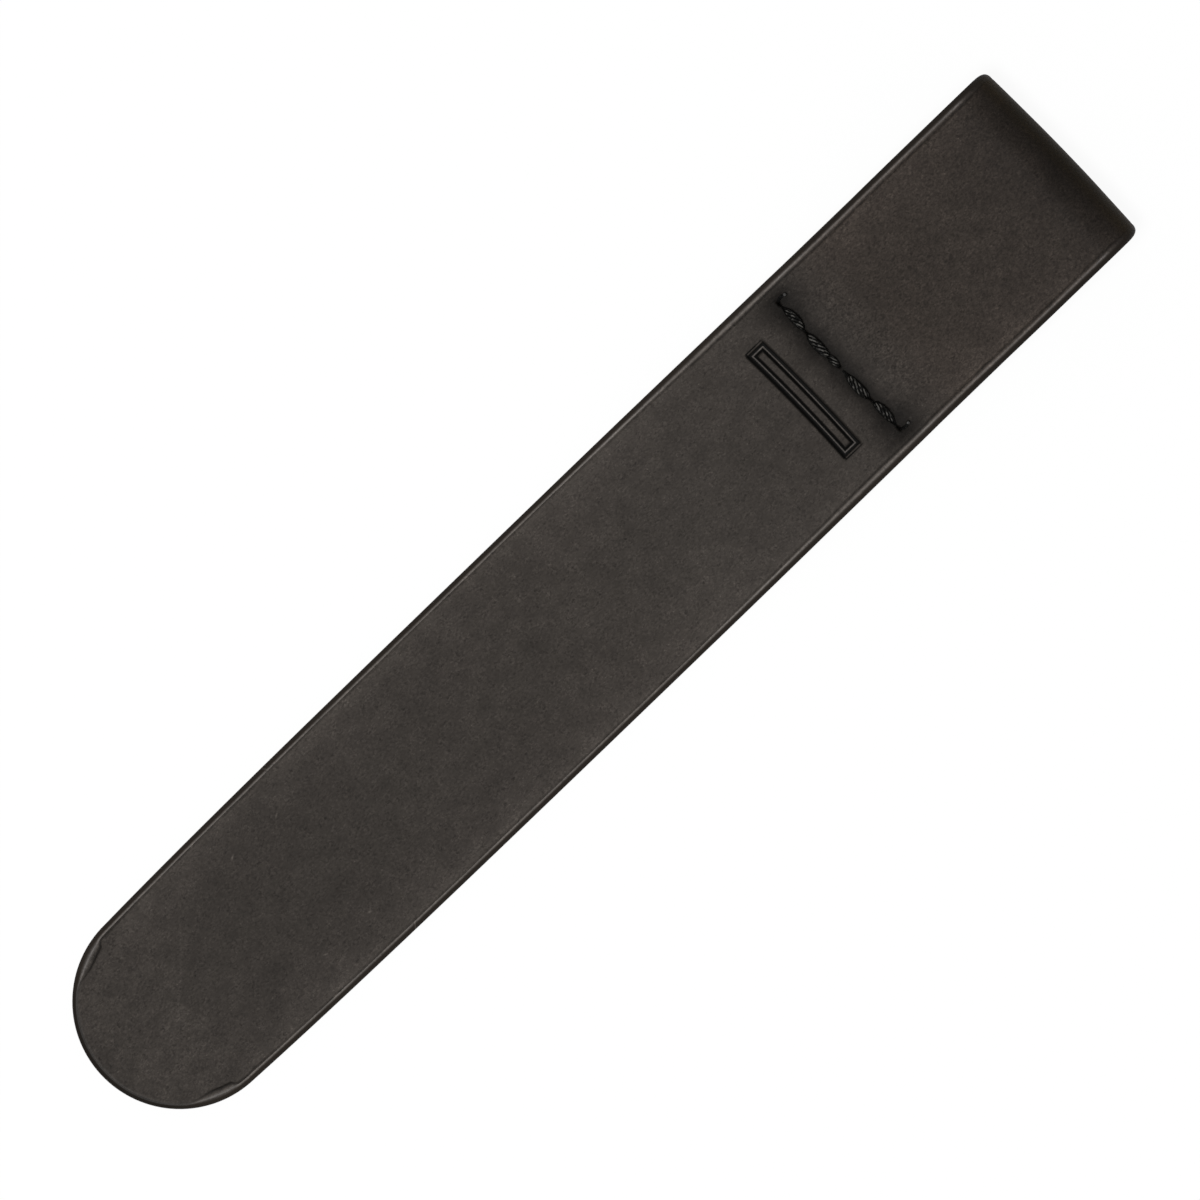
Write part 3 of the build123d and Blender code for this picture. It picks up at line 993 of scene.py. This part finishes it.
@made_once
def grain_leather(nodes):
    """Smooth dark grain with fine pebbles, slow mottling, beads lighter partly from wear and partly from a
    painted highlight, and painted edges.
    """
    leather = bpy.context.scene.bookmark_leather
    flat = nodes.times(nodes.attribute("flat", "Vector"), (1.18, 0.83, 1.0))
    pebbles = nodes.cells(flat, leather.pebble)
    pores = nodes.noise(flat, 0.17 * MM, detail=3.0, roughness=0.6)
    flecks = nodes.noise(flat, 0.30 * MM, detail=3.0, roughness=0.6, distortion=0.8)
    patches = nodes.noise(flat, 2.4 * MM, detail=3.0, roughness=0.6)
    clouds = nodes.noise(flat, 11 * MM, detail=2.0)
    specks = nodes.spread(nodes.noise(flat, 0.22 * MM, detail=1.0), 0.0, 1.0, 0.61, 0.80)
    specks = nodes.math("MULTIPLY", specks, nodes.spread(patches, 0.0, 1.0, 0.42, 0.62))
    lively = nodes.spread(nodes.noise(flat, 1.1 * MM, detail=2.0), 0.35, 1.65, 0.34, 0.66)
    flecks = nodes.math("MULTIPLY", nodes.spread(flecks, -0.31, 0.35), lively)
    amount = nodes.math("ADD", nodes.math("ADD", flecks, 1.0), specks)
    amount = nodes.math("MULTIPLY", amount, nodes.spread(patches, 0.86, 1.12))
    amount = nodes.math("MULTIPLY", amount, nodes.spread(clouds, 0.92, 1.08))
    wrinkles = nodes.spread(nodes.noise(flat, 0.38 * MM, detail=2.0, distortion=1.2), -0.48, 0.48)
    wrinkles = nodes.math("MULTIPLY", wrinkles, nodes.attribute("crumple"))
    amount = nodes.math("MULTIPLY", amount, nodes.math("ADD", wrinkles, 1.0))
    curls = nodes.noise(nodes.times(flat, (1.0, 0.62, 1.0)), 0.62 * MM, detail=0.0, distortion=2.2)
    amount = nodes.math("MULTIPLY", amount, nodes.spread(curls, 0.94, 1.06))
    # The tint carries painted shade and painted highlights into the grain's colour
    dyed_and_painted_light = nodes.scaled(nodes.times(nodes.attribute("tint", "Vector"), leather.grain_colour), amount)
    # The paint's shade holds painted shade on the loop and at the tip
    edging = nodes.scaled(tuple(leather.edge_colour), nodes.attribute("shade"))
    base = nodes.mix(nodes.attribute("paint"), dyed_and_painted_light, edging)
    shine = nodes.attribute("shine")
    matt = nodes.spread(pores, 0.50, 0.64)
    rough = nodes.math("SUBTRACT", matt, nodes.math("MULTIPLY", shine, 0.15))
    height = nodes.math("ADD", pebbles, nodes.math("MULTIPLY", pores, 0.5))
    nodes.bump(height, 0.04 * MM, 0.7)
    coat = nodes.math("MULTIPLY", shine, 0.35)
    nodes.finish(Base_Color=base, Roughness=rough, Coat_Weight=coat)
    return nodes.finish(Specular_IOR_Level=0.05, Coat_Roughness=0.36)


@made_once
def flesh_leather(nodes):
    """Rough side of the leather: short matted fibres, a little lighter where they stand up."""
    leather = bpy.context.scene.bookmark_leather
    flat = nodes.attribute("flat", "Vector")
    combed = nodes.times(flat, (1.0, 0.45, 1.0))
    nap = nodes.noise(combed, 0.22 * MM, detail=5.0, roughness=0.7, distortion=1.2)
    tufts = nodes.noise(flat, 1.3 * MM, detail=4.0, roughness=0.6)
    amount = nodes.spread(nap, 0.7, 1.3)
    amount = nodes.math("MULTIPLY", amount, nodes.spread(tufts, 0.8, 1.2))
    nodes.bump(nodes.math("ADD", nap, tufts), 0.10 * MM, 0.7)
    base = nodes.scaled(tuple(leather.flesh_colour), amount)
    nodes.finish(Base_Color=base, Roughness=nodes.spread(nap, 0.85, 1.0, 0.0, 1.0))
    return nodes.finish(Specular_IOR_Level=0.15, Sheen_Weight=0.15, Sheen_Roughness=0.5)


@made_once
def waxed_thread(nodes):
    """Black waxed thread with fine fibres along its plies, a painted highlight on the tops of its plies, and
    patches where wax is thin that weaken that painted highlight.
    """
    thread = bpy.context.scene.bookmark_thread
    lay = nodes.attribute("lay", "Vector")
    fibres = nodes.noise(nodes.times(lay, (0.12, 1.0, 1.0)), 0.045 * MM, detail=2.0)
    wax = nodes.noise(lay, 0.45 * MM, detail=2.0)
    amount = nodes.spread(fibres, 0.5, 1.5)
    amount = nodes.math("MULTIPLY", amount, nodes.spread(wax, 0.0, 1.6, 0.40, 0.64))
    # Painted highlight, broken up by the fibres and the wax
    rubbed = nodes.math("MULTIPLY", nodes.attribute("rub"), amount)
    nodes.bump(fibres, 0.02 * MM, 0.3)
    base = nodes.mix(rubbed, tuple(thread.wax_colour), tuple(thread.rubbed_colour))
    nodes.finish(Base_Color=base, Roughness=nodes.spread(wax, 0.24, 0.36))
    return nodes.finish(Specular_IOR_Level=0.05)


@made_once
def melted_thread(nodes):
    """Thread melted to a hard glossy bead."""
    thread = bpy.context.scene.bookmark_thread
    lay = nodes.attribute("lay", "Vector")
    swirl = nodes.noise(lay, 0.25 * MM, detail=3.0)
    nodes.bump(swirl, 0.03 * MM, 0.5)
    nodes.finish(Base_Color=nodes.scaled(tuple(thread.melt_colour), nodes.spread(swirl, 0.7, 1.3)))
    return nodes.finish(Roughness=nodes.spread(swirl, 0.2, 0.34), Specular_IOR_Level=0.4)


# Operators


class BOOKMARK_OT_strap(Operator):
    """Make the tail, the neck and the sewn front as one piece of leather"""

    bl_idname = "bookmark.strap"
    bl_label = "Strap"

    def execute(self, context):
        places = along_places()
        strap = leather_piece("strap_leather", places[places <= SEAM_AT + NEAR], (False, True), fan=True)
        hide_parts("tail", "neck", "front_panel")
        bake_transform(strap)
        return {"FINISHED"}


class BOOKMARK_OT_loop(Operator):
    """Make the upper layer of the loop, which bends up from the sewn front"""

    bl_idname = "bookmark.loop"
    bl_label = "Loop"

    def execute(self, context):
        places = along_places()
        chosen = places[(places >= SEAM_AT - NEAR) & (places <= FOLD_AT + NEAR)]
        loop = leather_piece("loop_leather", chosen, (True, True))
        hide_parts("loop_front")
        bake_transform(loop)
        return {"FINISHED"}


class BOOKMARK_OT_fold(Operator):
    """Make the fold and the sewn flap under the strap"""

    bl_idname = "bookmark.fold"
    bl_label = "Fold and flap"

    def execute(self, context):
        places = along_places()
        fold = leather_piece("fold_leather", places[places >= FOLD_AT - NEAR], (True, False), end=True)
        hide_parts("loop_fold", "back_flap")
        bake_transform(fold)
        return {"FINISHED"}


class BOOKMARK_OT_top_thread(Operator):
    """Make the visible stitches, their cut ends and the melted beads"""

    bl_idname = "bookmark.top_thread"
    bl_label = "Top thread"

    def execute(self, context):
        thread = context.scene.bookmark_thread
        full = thread.gauge / 2 / MM
        patch = ThreadPatch()
        outer_stitch = (
            (-9.75, 0.00, -1.30, 0.16), (-9.45, -0.05, -0.75, 0.18), (-9.05, -0.05, -0.38, 0.19),
            (-8.70, -0.04, -0.16, 0.28), (-8.20, -0.01, 0.06, 0.84 * full), (-7.50, 0.02, 0.15, 0.98 * full),
            (-6.80, 0.00, 0.12, 0.98 * full), (-6.28, -0.04, 0.04, 0.80 * full), (-5.95, -0.08, -0.12, 0.34),
            (-5.70, -0.12, -0.28, 0.15), (-5.40, -0.12, -0.34, 0.08), (-5.10, -0.12, -0.80, 0.08),
        )
        inner_stitch = (
            (-5.40, -0.12, -0.80, 0.08), (-5.10, -0.12, -0.34, 0.09), (-4.82, -0.16, -0.18, 0.27),
            (-4.30, -0.21, 0.06, 0.90 * full), (-3.40, -0.24, 0.14, 1.04 * full),
            (-2.50, -0.22, 0.08, 0.98 * full), (-1.95, -0.18, -0.08, 0.43), (-1.58, -0.15, -0.20, 0.31),
        )
        loose_end = (
            (-1.05, -0.14, -0.02, 0.43), (-0.45, -0.12, -0.04, 0.40), (0.00, -0.09, -0.30, 0.24),
            (0.12, -0.08, -1.30, 0.16),
        )
        tight_end = (
            (-1.22, -0.12, -0.36, 0.23), (-0.75, -0.10, -0.48, 0.20), (-0.45, -0.08, -0.80, 0.17),
            (-0.40, -0.08, -1.30, 0.15),
        )
        cut_end = (
            (-9.78, 0.00, -1.10, 0.14), (-9.85, 0.02, -0.50, 0.16), (-10.02, 0.20, -0.16, 0.18),
            (-10.10, 0.58, 0.06, 0.19), (-10.02, 0.96, 0.12, 0.17),
        )
        patch.twist(on_row(outer_stitch), -thread.lay, 0.4, BOTH_SIDES)
        patch.twist(on_row(inner_stitch + loose_end), -thread.lay, 1.9, (1.0,))
        patch.twist(on_row(inner_stitch + tight_end), -thread.lay, 1.4, (-1.0,))
        patch.twist(on_row(cut_end), -0.8 * thread.lay, 0.0, BOTH_SIDES)
        stitches = patch.piece("top_thread_stitches", waxed_thread())
        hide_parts("top_thread")
        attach(stitches, "head")
        bead = (
            (-10.06, 0.88, 0.12, 0.08), (-10.03, 0.95, 0.13, 0.19), (-9.98, 1.09, 0.15, 0.25),
            (-9.93, 1.22, 0.15, 0.20), (-9.91, 1.30, 0.15, 0.06),
        )
        ends = ThreadPatch()
        route, places = eased_route(on_row(bead), BEAD_STEP)
        ends.tube(route[:, :3], np.clip(route[:, 3], BEAD_TIP, None), places, 0, BOTH_SIDES)
        beads = ends.piece("melted_beads", melted_thread())
        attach(beads, "head")
        return {"FINISHED"}


class BOOKMARK_OT_bottom_thread(Operator):
    """Make the stitches under the flap and their cut ends"""

    bl_idname = "bookmark.bottom_thread"
    bl_label = "Bottom thread"

    def execute(self, context):
        thread = context.scene.bookmark_thread
        full = thread.under_gauge / 2 / MM
        under = -PANEL_HIGH.z / MM
        stops = []
        for start, end in zip(HOLES[:-1], HOLES[1:]):
            a, b = start / MM + 0.15, end / MM - 0.15
            stops += [(a, 0.0, under + 1.3, 0.24), (a + 0.3, 0.0, under + 0.60, 0.30)]
            stops += [(a + 1.0, 0.04, under + 0.42, full), ((a + b) / 2, 0.06, under + 0.41, full)]
            stops += [(b - 1.0, 0.04, under + 0.42, full), (b - 0.3, 0.0, under + 0.60, 0.30)]
            stops += [(b, 0.0, under + 1.3, 0.24)]
        end = HOLES[0] / MM
        cut_end = (
            (end + 0.05, 0.0, under + 1.3, 0.22), (end - 0.15, 0.0, under + 0.65, 0.28),
            (end - 0.45, 0.0, under + 0.43, 0.92 * full), (end - 0.85, 0.02, under + 0.41, 0.95 * full),
            (end - 1.15, 0.03, under + 0.41, 0.85 * full),
        )
        patch = ThreadPatch()
        patch.twist(on_row(stops), -thread.lay, 0.0, BOTH_SIDES)
        patch.twist(on_row(cut_end), -thread.lay, 0.7, BOTH_SIDES)
        stitches = patch.piece("bottom_thread_stitches", waxed_thread())
        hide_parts("bottom_thread")
        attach(stitches, "head")
        return {"FINISHED"}


class BOOKMARK_OT_stage(Operator):
    """Set up the floor, the soft light and the camera over the strap"""

    bl_idname = "bookmark.stage"
    bl_label = "Stage"

    def execute(self, context):
        stage = context.scene.bookmark_stage
        scene = context.scene
        scene.view_settings.view_transform = "Standard"
        self.floor(stage)
        self.light(stage, scene)
        camera = placed("camera", bpy.data.cameras.new("camera"))
        camera.location = (stage.centre_x, stage.centre_y, LEATHER + stage.camera_height)
        camera.rotation_euler = (0.0, 0.0, stage.camera_turn)
        camera.data.lens = camera.data.sensor_width * stage.camera_height / stage.field
        camera.data.clip_end = 2 * stage.camera_height
        scene.camera = camera
        return {"FINISHED"}

    def floor(self, stage):
        """A wide pale floor that the eye sees as white and that keeps the soft shadow."""
        mesh = bpy.data.meshes.new("floor")
        far = 4.0
        below = -0.02 * MM
        corners = [(-far, -far, below), (far, -far, below), (far, far, below), (-far, far, below)]
        mesh.from_pydata(corners, [], [(0, 1, 2, 3)])
        floor = placed("floor", mesh)
        nodes = Nodes(bpy.data.materials.new("pale_floor"))
        glow = nodes.tree.nodes.new("ShaderNodeEmission")
        nodes.link(self.seen_rays(nodes, stage.floor_glow), glow.inputs["Strength"])
        both = nodes.tree.nodes.new("ShaderNodeAddShader")
        nodes.link(nodes.shader.outputs[0], both.inputs[0])
        nodes.link(glow.outputs[0], both.inputs[1])
        nodes.link(both.outputs[0], nodes.tree.nodes["Material Output"].inputs["Surface"])
        nodes.finish(Base_Color=(*stage.floor_colour, 1.0), Roughness=0.9, Specular_IOR_Level=0.0)
        mesh.materials.append(nodes.owner)

    def light(self, stage, scene):
        """One large round lamp overhead and an even fill from all round."""
        lamp = bpy.data.lights.new("key", "AREA")
        lamp.shape = "DISK"
        lamp.size = stage.key_size
        lamp.energy = stage.key_power
        key = placed("key", lamp)
        key.location = (0.0, -stage.key_back, stage.key_height)
        key.rotation_euler = (-atan2(stage.key_back, stage.key_height), 0.0, 0.0)
        nodes = Nodes(bpy.data.worlds.new("studio"))
        scene.world = nodes.owner
        background = nodes.tree.nodes["Background"]
        background.inputs["Color"].default_value = (1.0, 1.0, 1.0, 1.0)
        total = nodes.math("ADD", self.seen_rays(nodes, 1.0 - stage.fill), stage.fill)
        nodes.link(total, background.inputs["Strength"])

    def seen_rays(self, nodes, strength):
        """A strength on rays from the eye, direct, mirrored or through glass, and 0 on all others."""
        rays = nodes.tree.nodes.new("ShaderNodeLightPath").outputs
        seen = nodes.math("MAXIMUM", rays["Is Camera Ray"], rays["Is Glossy Ray"])
        seen = nodes.math("MAXIMUM", seen, rays["Is Transmission Ray"])
        return nodes.math("MULTIPLY", seen, strength)


class BOOKMARK_PT_build(Panel):
    """Lists the bookmark's sizes and the steps that make it"""

    bl_idname = "BOOKMARK_PT_build"
    bl_label = "Leather Bookmark"
    bl_space_type = "VIEW_3D"
    bl_region_type = "UI"
    bl_category = "Bookmark"

    def draw(self, context):
        for settings, operators in GROUPS:
            box = self.layout.box()
            group = getattr(context.scene, settings)
            for name in group.bl_rna.properties.keys():
                if name not in ("rna_type", "name"):
                    box.prop(group, name)
            for operator in operators:
                box.operator(operator.bl_idname)


GROUPS = (
    ("bookmark_leather", (BOOKMARK_OT_strap, BOOKMARK_OT_loop, BOOKMARK_OT_fold)),
    ("bookmark_border", ()),
    ("bookmark_thread", (BOOKMARK_OT_top_thread, BOOKMARK_OT_bottom_thread)),
    ("bookmark_stage", (BOOKMARK_OT_stage,)),
)
SETTINGS = {
    "bookmark_leather": BookmarkLeather,
    "bookmark_border": BookmarkBorder,
    "bookmark_thread": BookmarkThread,
    "bookmark_stage": BookmarkStage,
}
OPERATORS = [operator for _, operators in GROUPS for operator in operators]
CLASSES = (*SETTINGS.values(), *OPERATORS, BOOKMARK_PT_build)


def register():
    """Adds the classes, and the settings to the scene."""
    for each in CLASSES:
        bpy.utils.register_class(each)
    for name, group in SETTINGS.items():
        setattr(bpy.types.Scene, name, PointerProperty(type=group))


def unregister():
    """Takes the settings and classes away again."""
    for name in SETTINGS:
        delattr(bpy.types.Scene, name)
    for each in reversed(CLASSES):
        bpy.utils.unregister_class(each)


def main():
    """Makes every piece and the stage."""
    register()
    bpy.ops.bookmark.strap()
    bpy.ops.bookmark.loop()
    bpy.ops.bookmark.fold()
    bpy.ops.bookmark.top_thread()
    bpy.ops.bookmark.bottom_thread()
    bpy.ops.bookmark.stage()


if __name__ == "__main__":
    main()
